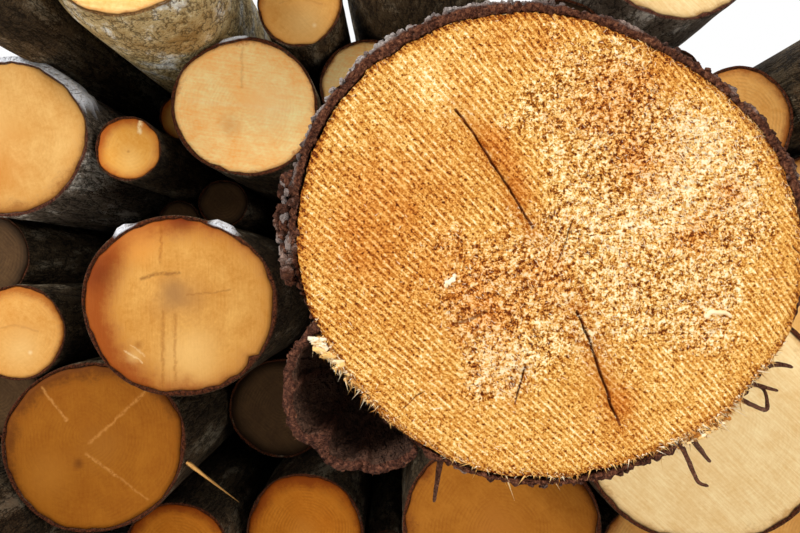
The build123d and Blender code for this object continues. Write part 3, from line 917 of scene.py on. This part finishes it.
# Where the fibres are torn, where the wood is stained warm, and where it is pale: x, z, radius, amount
torn_spots = [
    (-32, -28, 26, 0.9), (-14, -44, 20, 0.7), (32, 21, 36, 1.0), (71, 31, 34, 1.1), (46, -14, 34, 0.9),
    (7, -44, 24, 0.5), (-8, 66, 22, 0.6), (76, -30, 26, 0.8), (95, 20, 22, 0.5), (40, 58, 30, 0.8),
    (20, 92, 26, 0.6), (-10, -10, 26, 0.6), (-26, -62, 14, 0.8), (-60, -10, 30, 0.35), (-40, -60, 30, 0.35),
    (40, -50, 30, 0.3),
]
warm_spots = [
    (-34, -30, 20, 0.9), (-28, 52, 9, 1.0), (-22, 40, 8, 0.9), (-16, 28, 7, 0.7), (44, 42, 13, 0.9),
    (40, 78, 16, 0.7), (-80, -20, 30, 0.3), (33, -78, 8, 0.9), (-5, -14, 16, 0.5), (68, 4, 12, 0.6),
    (88, 26, 7, 0.9), (26, 68, 16, 0.5), (-70, 40, 30, 0.25), (-10, 100, 24, 0.4), (-40, -72, 20, 0.3),
    (76, -92, 14, 0.5), (-92, 8, 26, 0.6), (-60, 10, 22, 0.35),
]
pale_spots = [
    (-66, 90, 9, 0.7), (-60, 80, 9, 0.8), (-53, 70, 8, 0.6), (72, 44, 16, 0.7), (43, 12, 20, 0.6),
    (80, -34, 10, 0.9), (20, 12, 12, 0.5), (60, 20, 16, 0.6), (-25, -58, 13, 0.9), (62, 60, 14, 0.6),
    (80, 57, 9, 0.6), (30, -28, 14, 0.4), (95, 20, 12, 0.5), (-9, -60, 9, 0.4), (10, 40, 10, 0.4),
]

# Drying checks and one gouge: points along each, the widest opening and the depth
drying_checks = [
    ([(-47, 66), (-37, 53), (-29, 40), (-20, 27), (-14, 16), (-9, 8)], 2.2, 4.0),
    ([(12.5, -33), (19, -47), (23, -60), (27, -70), (29, -78), (33.5, -88)], 2.5, 4.0),
    ([(3, -9), (7, 1), (10.5, 12.5)], 1.0, 2.0),
    ([(-18, -78), (-15, -68), (-12.5, -60)], 1.3, 3.0),
    ([(-72, -80), (-66, -74), (-62, -72)], 0.8, 1.4),
    ([(118, -1), (126, -8)], 0.9, 1.8),
    ([(-48, -39), (-40, -37), (-32, -33)], 2.4, 1.4),
]


def check_depths(x, z):
    """Depth of the drying checks, full on a check's middle line and falling to 0 at half its width, which
    swells from its ends to its middle as 0.3 + 0.7 sin(pi t); and a bell of the distance, for the stain."""
    total = np.zeros_like(x)
    near = np.zeros_like(x)
    for path, width, depth in drying_checks:
        legs = len(path) - 1
        for n in range(legs):
            ax, az = path[n]
            bx, bz = path[n + 1]
            lx, lz = bx - ax, bz - az
            t = np.clip(((x - ax) * lx + (z - az) * lz) / (lx * lx + lz * lz), 0, 1)
            off = np.hypot(x - ax - t * lx, z - az - t * lz)
            off = off + 0.5 * noise(x / 3.2, 9.5, z / 3.2, 81)
            half = 0.5 * width * (0.3 + 0.7 * np.sin(math.pi * (n + t) / legs))
            total = np.maximum(total, depth * np.clip(1 - off / half, 0, 1))
            near = np.maximum(near, np.exp(-(off / (3.2 * width)) ** 2) * min(depth / 4, 1))
    return total, near


def sawn_face(per_mark=5, along_columns=226, rim_steps=1440, highest=1.7, plate=8.0):
    """The front log's end face as a grid laid along the saw marks, which are straight lines that meet at a
    point 1 / line_fan away. Row c is the chord q = c (1 - fan p); column u goes along it. Its height is a
    ridge at every mark that fades where fibres are torn, plus torn crumbs of fine noise, less the drying
    checks. A ring and a fan close it at the back."""
    angle = np.linspace(0, turn_round, rim_steps + 1)
    reach = rim_reach(angle)
    rim_p, rim_q = along_lines(reach * np.cos(angle), reach * np.sin(angle))
    rim_c = rim_q / (1 - line_fan * rim_p)
    top, bottom = rim_c.argmax(), rim_c.argmin()
    order = np.arange(rim_steps)
    right = np.roll(order, -bottom)[: (top - bottom) % rim_steps + 1]
    left = np.roll(order, -top)[: (bottom - top) % rim_steps + 1]
    across = rim_c.max() - rim_c.min()
    mid = (rim_c.max() + rim_c.min()) / 2
    c = mid + np.linspace(-0.499, 0.499, round(across * per_mark / line_spacing)) * across
    one = np.interp(c, np.maximum.accumulate(rim_c[right]), rim_p[right])
    other = np.interp(c, np.maximum.accumulate(rim_c[left][::-1]), rim_p[left][::-1])
    u = np.linspace(0, 1, along_columns)[None, :]
    p = other[:, None] * (1 - u) + one[:, None] * u
    c = c[:, None] + 0 * u
    q = c * (1 - line_fan * p)
    x = p * math.cos(line_fall) - q * math.sin(line_fall)
    z = p * math.sin(line_fall) + q * math.cos(line_fall)

    torn = spots_at(x, z, torn_spots) + 0.5 * fractal(x / 12, 2.2, z / 12, 4, 71)
    torn = step(0.3, 1.0, torn)
    warm = np.clip(spots_at(x, z, warm_spots) + 0.4 * fractal(x / 12, 5.2, z / 12, 4, 73), 0, 1)
    pale = np.clip(spots_at(x, z, pale_spots) + 0.35 * fractal(x / 9, 8.2, z / 9, 4, 74), 0, 1)
    line = c / line_spacing + 0.3 * noise(x / 24, 6.5, z / 24, 75) + 0.1 * noise(x / 5, 7.5, z / 5, 79)
    ridge = (1 - np.abs((line % 1) * 2 - 1)) ** 1.4
    weave = 0.62 + 0.38 * noise(p / 7, np.floor(line), 0.5, 76)
    pits = fractal(x / 1.7, 0.4, z / 1.7, 3, 77)
    rough = fractal(x / 4.5, 1.4, z / 4.5, 3, 78)
    crack, beside = check_depths(x, z)
    turned = np.arctan2(z, x) % turn_round
    edge = step(0.955, 1.0, np.hypot(x, z) / np.interp(turned, angle, reach))
    height = 0.38 * ridge * weave * (1 - 0.7 * torn) + 0.26 * pits
    height = height + torn * (1.0 * pits + 0.7 * rough) + 0.4 * fractal(x / 40, 3.3, z / 40, 2, 79)
    height = height - 0.9 * edge + 0.8 * edge * pits - 1.6 * bell(np.hypot(x - 91, z - 25), 0, 2.0)
    height = np.minimum(height, highest)
    points = on_face(x, z, face_sink - height + crack)

    rows, columns = x.shape
    index = np.arange(rows * columns).reshape(rows, columns)
    quads = np.stack([index[:-1, :-1], index[:-1, 1:], index[1:, 1:], index[1:, :-1]], -1).reshape(-1, 4)
    loop = np.r_[index[0, :], index[1:, -1], index[-1, -2::-1], index[-2:0:-1, 0]]
    flat = points.reshape(-1, 3)
    around = flat[loop] + [0, plate, 0]
    ring = len(flat) + np.arange(len(loop))
    after = np.roll(np.arange(len(loop)), -1)
    side = np.stack([loop, ring, ring[after], loop[after]], 1)
    fan = np.stack([np.full(len(loop), len(flat) + len(loop)), ring[after], ring], 1)
    flat = np.vstack([flat, around, around.mean(0)])

    def full(value):
        """A value on the grid, then on the ring and at the middle of the back."""
        value = np.broadcast_to(value, x.shape).ravel()
        return np.r_[value, value[loop], value.mean()]

    section = np.stack([full(x), full(z)], 1) * 0.001
    carried = {
        "torn": torn, "warm": warm, "pale": pale, "beside": beside, "edge": edge,
        "relief": np.clip(height, -1.5, highest), "line_at": line, "run": p,
    }
    values = {key: full(value) for key, value in carried.items()}
    piece = make_mesh("front_log_sawn_face", flat, [quads, side, fan], front_wood, section, values)
    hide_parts("front_log")
    return points.reshape(-1, 3), torn.ravel(), pale.ravel(), edge.ravel()


# Material of the thick log's end: pale ridges as a painted highlight, orange furrows, torn and stained
# patches, painted light and shade
front_wood, sheet = new_material("front_wood")
section = sheet.section()
torn = sheet.read("torn")
line_at = sheet.read("line_at")
# Painted highlight: lighter colour along the top of each saw ridge
ridge_highlight = sheet.math("POWER", 1.0 - sheet.math("ABSOLUTE", sheet.math("FRACT", line_at) * 2.0 - 1.0), 2.0)
drawn = {0: sheet.read("run") * 0.22, 1: line_at * 3.4}
streak = sheet.noise(sheet.node("ShaderNodeCombineXYZ", drawn).outputs[0], 1.0, 4.0, 0.7)
grit = sheet.noise(section, 900.0, 3.0, 0.7)
crumb = sheet.noise(section, 430.0, 4.0, 0.75)
pit = sheet.span(sheet.noise(section, 560.0, 3.0, 0.6), 0.43, 0.33)
fleck = sheet.span(sheet.noise(sheet.vector("ADD", section, (3.1, 1.7, 0.4)), 620.0, 3.0, 0.6), 0.56, 0.68)
patch = sheet.noise(section, 42.0, 5.0, 0.65)
clump = sheet.noise(sheet.vector("ADD", section, (1.3, 0.6, 2.2)), 170.0, 3.0, 0.6)
smooth = 1.0 - torn * 0.8
clear = sheet.span(patch, 0.34, 0.62) * 0.75 + 0.5
value = (ridge_highlight - 0.3) * smooth * clear * 0.34 + 0.43 + (streak - 0.5) * smooth * 1.3
value += (grit - 0.5) * (torn * 0.5 + 1.5) + (crumb - 0.47) * (torn * 3.0 + 0.9)
value += (clump - 0.55) * (torn * 1.3 + 0.45) + (patch - 0.5) * 0.35
value += fleck * (torn * 0.52 + 0.28) - pit * (torn * 0.45 + 0.45)
# Painted light and shade: lighter where the face stands high, darker in its hollows (relief) and at its
# sunken rim (edge)
for key, amount in (("relief", 0.16), ("pale", 0.2), ("warm", -0.1), ("edge", -0.12)):
    value += sheet.read(key) * amount
colour = sheet.ramp(value, [
    (0.0, (90, 34, 3)), (0.15, (160, 86, 18)), (0.36, (208, 140, 52)), (0.56, (234, 180, 94)),
    (0.76, (252, 214, 136)), (1.0, (255, 242, 204))])
colour = sheet.mix(sheet.read("warm") * 0.45, colour, (238, 164, 56), "MULTIPLY")
colour = sheet.mix(sheet.read("beside") * sheet.span(patch, 0.3, 0.6) * 0.5, colour, (186, 96, 14))
# The drying checks are painted dark red-brown: partly the stained wood in them, partly painted shade in the
# cracks
for path, width, depth in drying_checks:
    share, amount = (0.75, 0.85) if depth > 1.7 else (0.9, 0.6)
    mask = bent_line(sheet, section, path, width * share, 0.5, 0.0014)
    colour = sheet.mix(mask * amount, colour, (96, 28, 4))
sheet.finish(colour, 0.8, crumb * 0.8 + grit + streak * 0.7, 0.9, 0.0006)

face_points, face_torn, face_pale, face_edge = sawn_face()

# Material of torn fibres: straw to cream, each fibre with its own shade
fibre, sheet = new_material("torn_fibre")
shade = sheet.noise(sheet.place(), 300.0, 2.0) * 0.3 + sheet.read("shade")
sheet.finish(sheet.ramp(shade, [
    (0.0, (116, 60, 20)), (0.3, (196, 126, 50)), (0.65, (246, 200, 124)), (1.0, (255, 240, 208))]), 0.8)


def torn_fibres(count=7500):
    """Fibres torn up from the sawn face: slivers of 0.9 to 3.2 mm rooted on the face where it is torn or at
    its edge, most of them near the direction of the saw marks, lifting forward but not past the log's end."""
    rng = np.random.default_rng(11)
    weight = face_torn * (0.4 + face_pale) + 0.6 * face_edge + 0.05
    pick = rng.choice(len(face_points), count, p=weight / weight.sum())
    root = face_points[pick] + [0, 0.25, 0]
    turn = line_fall + rng.normal(0, 0.75, count) + math.pi * rng.integers(0, 2, count)
    length = rng.uniform(0.9, 3.2, count)
    lift = rng.uniform(0.1, 0.5, count) * length
    tip = root + np.stack([length * np.cos(turn), -lift, length * np.sin(turn)], -1)
    tip[:, 1] = np.maximum(tip[:, 1], front_plane + clearance)
    x, z = tip[:, 0] - face_middle[0], tip[:, 2] - face_middle[1]
    keep = np.hypot(x, z) < rim_reach(np.arctan2(z, x)) + 0.8
    # Fibres rooted at the sunken rim are made darker: painted shade
    shade = np.clip(rng.uniform(0.25, 0.95, count) + 0.25 * face_pale[pick] - 0.2 * face_edge[pick], 0, 1)
    width = rng.uniform(0.16, 0.34, count)
    piece = slivers("torn_fibres", root[keep], tip[keep], width[keep], fibre, {"shade": shade[keep]})


torn_fibres()


def rim_fibres(count=1700):
    """Fibres that hang over the wood's edge where its bark is gone: left below the middle, along the bottom
    and thickest at the lower right, about 1 to 7 mm long and turned outwards, most within a radian."""
    rng = np.random.default_rng(12)
    tufts = {208: .1, 219: .07, 248: .06, 272: .11, 290: .08, 306: .26, 316: .2, 330: .12}
    place = rng.choice(list(tufts), count, p=list(tufts.values()))
    angle = np.radians(place + rng.normal(0, 4, count))
    reach = rim_reach(angle) - rng.uniform(0.2, 1.6, count)
    root = on_face(reach * np.cos(angle), reach * np.sin(angle), face_sink + rng.uniform(0, 5, count))
    length = rng.gamma(2.0, 1.0, count) * np.where((place > 300) & (place < 320), 1.4, 1.0) + 0.6
    way = angle + rng.normal(0, 0.9, count)
    tip = root + np.stack([length * np.cos(way), rng.uniform(-0.5, 0.9, count), length * np.sin(way)], -1)
    tip[:, 1] = np.maximum(tip[:, 1], front_plane + 0.2)
    shade = np.clip(rng.normal(0.42, 0.3, count), 0, 1)
    piece = slivers("rim_fibres", root, tip, rng.uniform(0.25, 0.7, count), fibre, {"shade": shade})


rim_fibres()


def front_core():
    """Wood of the front log behind its face plate, closed, out to the bark's inner wall."""
    angle = round_angles(160)
    thick, gap, _ = bark_round(angle)
    rows, outs, sections = [], [], []
    rear = front_rims[-1]
    order = [(front_rim, share, 7.5) for share in (0.05, 0.5, 1.0)] + [(rear, 1.0, -16.0)]
    order += [(rear, share, -1.4) for share in (1.0, 0.95, 0.85, 0.7, 0.55, 0.4, 0.25, 0.1, 0.04)]
    for rim, share, shift in order:
        p = rim.at(angle, thick + gap + 0.7, share)
        p[:, 1] += shift
        rows.append(p)
        outs.append(np.full(len(angle), share))
        sections.append(np.stack([p[:, 0] - rim.middle[0], p[:, 2] - rim.middle[1]], -1) * 0.001)
    piece = ring_piece(
        "front_log_core", np.stack(rows), orange_wood, uv=np.stack(sections), values={"out": np.stack(outs)})
    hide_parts("front_log")


front_core()

# Material of the peeled bark: dark-brown bark, raw red-brown ridges and rim, and painted shade deeper in the
# hollow
peeled_material, sheet = new_material("peeled_bark_inside")
where = sheet.place()
bark =sheet.use("broken_bark", {"Position": where, "Plate Size": 0.008, "Crust": 0.3})
speck = sheet.noise(where, 520.0, 4.0, 0.7)
colour = sheet.mix(sheet.span(bark["Tone"], 0.36, 0.66), (56, 38, 30), (132, 96, 76))
raw = sheet.ramp(speck, [
    (0.3, (34, 16, 10)), (0.45, (74, 42, 30)), (0.62, (116, 72, 52)), (0.8, (180, 130, 100))])
colour = sheet.mix(sheet.read("sawn"), colour, raw)
# Painted shade: darker deeper in the hollow, where the mesh's dark value is high
colour = sheet.mix(sheet.read("dark") * 0.2, colour, (30, 20, 14))
sheet.finish(colour, 0.8, bark["Height"], 1.0, 0.0025)


def peeled_slab(columns=120, rows=60, half_width=43.0, reach_out=45.0, depth_back=84, crumbs=260, shreds=160):
    """Bark peeled off the front log, a cupped wall that closes at its back. The arch angle a goes from one
    edge to the other, t from the front to the toe: the point is the root plus cos(a) and sin(a) times the
    half width and the reach, both shrunk by sqrt(1 - t^3). Three ridges run down its inside; noise crumples
    it. Crumbs and shreds are strewn along its front rim."""
    out = math.radians(218)
    ahead = np.array([math.sin(out), 0, -math.cos(out)])
    away = np.array([math.cos(out), 0, math.sin(out)])
    root = front_rim.radius(np.array([out]))[0] - 9
    start = on_face(root * math.cos(out), root * math.sin(out))
    a = np.linspace(0.06, math.pi - 0.06, columns)[None, :]
    t = np.linspace(0, 1, rows)[:, None]
    shrink = np.sqrt(np.clip(1 - t ** 3, 0, 1)) * 0.985 + 0.015
    wrinkle = fractal(np.cos(a) * 4, t * 3, np.sin(a) * 4, 4, 91)
    ridge = 8 * bell(a, 1.75, 0.13) * (1 - 0.5 * t) + 5 * bell(a, 0.95, 0.1) + 3 * bell(a, 2.4, 0.08)
    edge = 6 * np.clip(fractal(np.cos(a) * 7, 1.5, np.sin(a) * 7, 4, 92), 0, 1) * (1 - t) ** 4
    walls = []
    for depth in (0.7, 5.0):
        inner = depth > 1
        fine = fractal(np.cos(a) * 15, t * 9, np.sin(a) * 15, 3, 93)
        rough = np.clip(2.0 * wrinkle + (1.6 if inner else 1.1) * fine, -0.4, 3)
        half = (half_width - depth - rough) * shrink
        reach = (reach_out - depth - rough - (ridge if inner else 0.4 * ridge)) * shrink
        y = (0.8 + edge + depth_back * t) + (0 if inner else 0.5) - (3.5 if inner else 0) * t
        walls.append(start + (half * np.cos(a))[..., None] * ahead + (reach * np.sin(a))[..., None] * away
                     + (y + 0 * a)[..., None] * [0, 1, 0])
    outer, inner = walls
    both = np.concatenate([outer, inner[:, ::-1]], 1)
    quads = ring_faces(rows, columns * 2, False)
    half = np.arange(columns - 1)
    lip = np.stack([half, 2 * columns - 1 - half, 2 * columns - 2 - half, half + 1], 1)
    toe = lip[:, ::-1] + (rows - 1) * columns * 2
    raised = np.broadcast_to(np.clip(ridge / 6, 0, 1), (rows, columns))[:, ::-1]
    sawn = np.zeros((rows, columns * 2))
    sawn[:2] = 1.0
    sawn[:, columns:] = np.maximum(sawn[:, columns:], 0.85 * raised)
    # Painted shade for the hollow: the inner wall darkens towards the toe, less on the raised ridges
    dark = np.zeros((rows, columns * 2))
    dark[:, columns:] = np.clip(t * 5, 0, 1) * (1 - 0.8 * raised)
    piece = make_mesh(
        "peeled_bark_slab", both.reshape(-1, 3), [quads, lip, toe], peeled_material,
        values={"sawn": sawn.ravel(), "dark": dark.ravel()})
    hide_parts("peeled_bark")

    rng = np.random.default_rng(21)
    pick = rng.integers(0, columns, crumbs + shreds)
    rim = (outer[0, pick] + inner[0, pick]) / 2
    outwards = rim - (start + 18 * away)
    outwards /= np.linalg.norm(outwards, axis=1, keepdims=True)
    size = rng.uniform(0.5, 1.5, (crumbs, 1)) * [1.0, 1.2, 1.0]
    centres = rim[:crumbs] + outwards[:crumbs] * rng.uniform(-1.5, 2.4, (crumbs, 1))
    centres[:, 1] += size[:, 1] + rng.uniform(0.3, 3, crumbs)
    piece = lumps("peeled_bark_crumbs", centres, size, front_bark, 4, 6, seed=22, values={
        "sawn": rng.uniform(0.4, 1, crumbs), "pale": np.zeros(crumbs)})
    roots = rim[crumbs:] + [0, 1.2, 0]
    tips = roots + outwards[crumbs:] * rng.uniform(1, 3.6, (shreds, 1))
    tips = tips + rng.normal(0, 0.9, (shreds, 3)) * [1, 0.3, 1]
    tips[:, 1] = np.maximum(tips[:, 1], front_plane + 0.2)
    piece = slivers("peeled_bark_shreds", roots, tips, rng.uniform(0.3, 0.7, shreds), front_bark, {
        "sawn": np.ones(shreds), "pale": np.zeros(shreds)})


peeled_slab()

# Clump of bark hanging at the left of the front log: a ragged band of nodules, widest a third of the way down
rng = np.random.default_rng(32)
count = 130
down = rng.uniform(0, 1, count)
swell = np.sin(math.pi * np.clip(down, 0.04, 1) ** 0.7)
x = -129.5 + 5.5 * swell * rng.uniform(-1, 1, count)
clump = on_face(x, 34 - 52 * down, 11 + 6 * rng.uniform(-1, 1, count))
size = rng.uniform(1.4, 3.1, (count, 1)) * [1.0, 1.5, 1.25]
piece = lumps("bark_clump", clump, size, front_bark, rows=7, columns=10, seed=31, rough=0.6, values={
    "sawn": rng.choice([0.0, 0.3, 0.9], count), "pale": rng.choice([0.0, 0.0, 0.35], count)})

# Strips of bark torn off, five of them at the lower right and one that hangs at the bottom
strip_bark = bark_material(
    "strip_bark", seam=(70, 40, 28), dark=(86, 52, 38), light=(130, 88, 66), crust=(160, 126, 106),
    crust_share=0.5, plate=0.005, raw=[(96, 56, 38), (126, 80, 58), (160, 114, 90)])
strips = {
    "bark_strip_long": ([(62, -97), (66, -101), (73.8, -118.5), (79.4, -120.3)], 1.6),
    "bark_strip_short": ([(68, -94), (72, -98), (76, -103), (80.8, -108.5)], 1.8),
    "bark_strip_loop": ([(88, -72), (97, -78), (109.7, -83.5), (108.8, -72.2), (102.7, -69.4)], 1.5),
    "bark_strip_over_loop": ([(94, -68), (100, -69), (114.9, -73)], 1.5),
    "bark_strip_right": ([(100, -63), (106, -62), (114.9, -59.5), (123.5, -61.7)], 1.8),
    "bark_strip_hanging": ([(-50, -100), (-53, -108), (-54.5, -119), (-56.5, -133)], 2.0),
}
for n, (name, (path, radius)) in enumerate(strips.items()):
    path = [on_face(x, z, 4.5 + 1.5 * k + (n if n < 5 else 16)) for k, (x, z) in enumerate(path)]
    piece = twig(name, path, radius, strip_bark, seed=n, values={"sawn": 0.6, "pale": 0.0})

# Pale torn wood at the root of the peeled bark: blocks that get smaller downwards, and splinters from them
rng = np.random.default_rng(46)
count = 34
down = rng.uniform(0, 1, count) ** 1.5
x = -115 + 18 * down + rng.normal(0, 1.3, count)
z = -48 - 18 * down + rng.normal(0, 1.6, count)
torn_root = on_face(x, z, 4.0 + 2 * rng.uniform(-1, 1, count))
size = (rng.uniform(0.8, 2.6, count) * (1.15 - 0.7 * down))[:, None] * [1.6, 1.0, 0.8]
shade = rng.uniform(0.3, 0.95, count)
piece = lumps("torn_wood_at_root", torn_root, size, fibre, 6, 8, seed=46, rough=1.3, values={"shade": shade})
count = 110
start = torn_root[rng.integers(0, 34, count)] + rng.normal(0, 0.6, (count, 3))
end = start + np.stack([rng.normal(*drift, count) for drift in ((1.0, 1.6), (0, 0.6), (-3.4, 2.2))], -1)
width, shade = rng.uniform(0.3, 0.9, count), rng.uniform(0.1, 0.95, count)
piece = slivers("torn_splinters_at_root", start, end, width, fibre, {"shade": shade})

# Fringe of torn wood and bark that juts over the edge at the lower right, with splinters from it
count = 150
angle = np.radians(rng.normal(309, 4.5, count))
reach = rim_reach(angle) + np.minimum(rng.gamma(2.0, 1.7, count), 5.5) - 1.5
fringe = on_face(reach * np.cos(angle), reach * np.sin(angle), 3.2 + rng.uniform(0, 3, count))
size = rng.uniform(0.5, 1.5, (count, 1)) * [1.5, 1.0, 0.8]
shade = rng.uniform(0.0, 0.8, count)
piece = lumps("torn_fringe", fringe, size, fibre, seed=47, rough=1.2, values={"shade": shade})
count = 260
start = fringe[rng.integers(0, 150, count)]
end = start + np.stack([rng.normal(*drift, count) for drift in ((1.6, 2.0), (0, 0.5), (-0.6, 2.0))], -1)
width, shade = rng.uniform(0.25, 0.7, count), rng.uniform(0.0, 0.9, count)
piece = slivers("torn_fringe_splinters", start, end, width, fibre, {"shade": shade})

# Splinters that hang at the bottom: start and end on the face, half width and shade; and one splinter that is
# caught between the logs below
hanging = np.array([
    (-23.5, -109.0, -17.3, -127.0, 0.9, 0.6), (-26.0, -110.0, -21.0, -120.0, 0.6, 0.4),
    (0.0, -113.0, 5.4, -122.0, 0.6, 0.6), (5.0, -112.0, 0.5, -117.0, 0.5, 0.8),
    (-12.0, -113.0, -14.5, -117.5, 0.5, 0.5),
])
x, z, end_x, end_z, width, shade = hanging.T
start, end = on_face(x, z, 4.0), on_face(end_x, end_z, 6.0)
piece = slivers("hanging_splinters", start, end, width, fibre, {"shade": shade})
start, end = np.array([[-224.0, -884.0, 184.0]]), np.array([[-165.0, -880.0, 137.0]])
piece = slivers("caught_splinter", start, end, np.array([3.4]), fibre, {"shade": np.array([0.3])})

# A white chip lying on the sawn face: place, depth, size and shade of its lumps; and a curled shaving
chip = np.array([
    (-50.2, -18.6, 1.2, 1.9, 0.6, 1.3, 0.95), (-48.4, -17.4, 1.1, 1.7, 0.6, 1.2, 0.85),
    (-47.4, -15.6, 1.3, 1.1, 0.5, 1.0, 0.8), (-51.6, -20.2, 1.3, 0.9, 0.5, 0.9, 0.7),
])
piece = lumps("white_chip", on_face(*chip[:, :3].T), chip[:, 3:6], fibre, 9, 12, seed=44, rough=1.0,
              values={"shade": chip[:, 6]})
t = np.linspace(0, 1, 9)
curl = on_face(75 + 13 * t, -36 + 3.4 * np.sin(math.pi * t) + 0.8 * np.sin(9 * t), 1.8)
piece = twig("curled_shaving", curl, 1.5, fibre, seed=45, values={"shade": 0.72})


# Floor, light and camera

floor_mesh = bpy.data.meshes.new("floor")
floor_mesh.from_pydata([(-9, -9, 0), (9, -9, 0), (9, 9, 0), (-9, 9, 0)], [], [(0, 1, 2, 3)])
floor = bpy.data.objects.new("floor", floor_mesh)
bpy.context.scene.collection.objects.link(floor)
floor_paint, sheet = new_material("floor_paint")
sheet.finish(sheet.mix(sheet.noise(sheet.place(), 3.0), (226, 225, 222), (236, 235, 233)), 0.9)
floor_mesh.materials.append(floor_paint)

world = bpy.data.worlds.new("studio")
bpy.context.scene.world = world
world.use_nodes = True
sheet = Sheet(world.node_tree)
rays = sheet.node("ShaderNodeLightPath").outputs
clear = sheet.math("MAXIMUM", rays["Is Glossy Ray"], rays["Is Transmission Ray"])
seen = sheet.math("MAXIMUM", rays["Is Camera Ray"], clear)
light =world.node_tree.nodes["Background"]
light.inputs["Color"].default_value = (1.0, 0.985, 0.96, 1.0)
light.inputs["Strength"].default_value = 0.52
white = sheet.node("ShaderNodeBackground", {"Color": (1.0, 1.0, 1.0, 1.0), "Strength": 1.0})
both = sheet.node("ShaderNodeMixShader", {0: seen, 1: light.outputs[0], 2: white.outputs[0]})
sheet.feed(world.node_tree.nodes["World Output"].inputs["Surface"], both.outputs[0])


def lamp(name, place, aim, size, watts):
    """A square area lamp at a place, turned to a point."""
    data = bpy.data.lights.new(name, "AREA")
    data.size = size
    data.energy = watts
    made = bpy.data.objects.new(name, data)
    made.location = place
    made.rotation_euler = (Vector(aim) - Vector(place)).to_track_quat("-Z", "Y").to_euler()
    bpy.context.scene.collection.objects.link(made)


lamp("key", (-2.6, -2.9, 2.6), (0.0, -1.1, 0.4), 1.0, 106)
lamp("fill", (2.4, -3.2, 1.4), (0.0, -1.0, 0.4), 2.0, 50)
lamp("top", (0.3, 0.6, 3.6), (0.0, 0.0, 0.4), 2.4, 40)

camera_data = bpy.data.cameras.new("camera")
camera_data.lens = 35
camera_data.sensor_width = 36
camera_data.clip_start = 0.01
camera = bpy.data.objects.new("camera", camera_data)
camera.location = (0.0112, -1.741, 0.3995)
camera.rotation_euler = (math.radians(90), 0, 0)
bpy.context.scene.collection.objects.link(camera)
bpy.context.scene.camera = camera
bpy.context.scene.view_settings.view_transform = "Standard"
